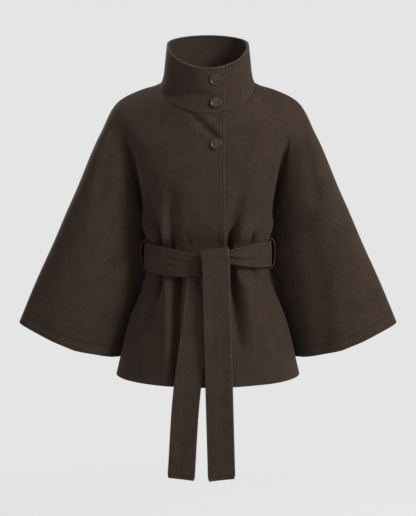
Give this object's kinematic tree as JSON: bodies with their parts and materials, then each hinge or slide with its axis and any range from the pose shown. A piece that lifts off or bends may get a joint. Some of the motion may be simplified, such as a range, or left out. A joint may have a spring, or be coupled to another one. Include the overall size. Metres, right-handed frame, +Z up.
{
  "type": "wrap jacket",
  "caption": "Belted wool wrap jacket with cape sleeves cut in one with the body, a funnel collar lapped and buttoned at the front, and a tie belt knotted at the waist",
  "frame": {"origin": "the middle of the base of the neck, level with the tops of the shoulder seams, where a wearer's shoulders carry the jacket", "axes": "+Z up, -Y the way the jacket faces, -X the wearer's right"},
  "size_m": [0.854, 0.3244, 0.9677],
  "materials": {
    "wool": "felted coating wool, dark brown, short nap",
    "horn": "polished horn, smoky grey-brown"
  },
  "bodies": {
    "root": {"front_right": "wool", "front_left": "wool", "back": "wool", "collar": "wool", "belt_band": "wool", "belt_knot": "wool", "belt_tail_over": "wool", "belt_tail_under": "wool", "belt_loop_right": "wool", "belt_loop_left": "wool", "button_top": "horn", "button_middle": "horn", "button_chest": "horn"}
  },
  "joints": []
}
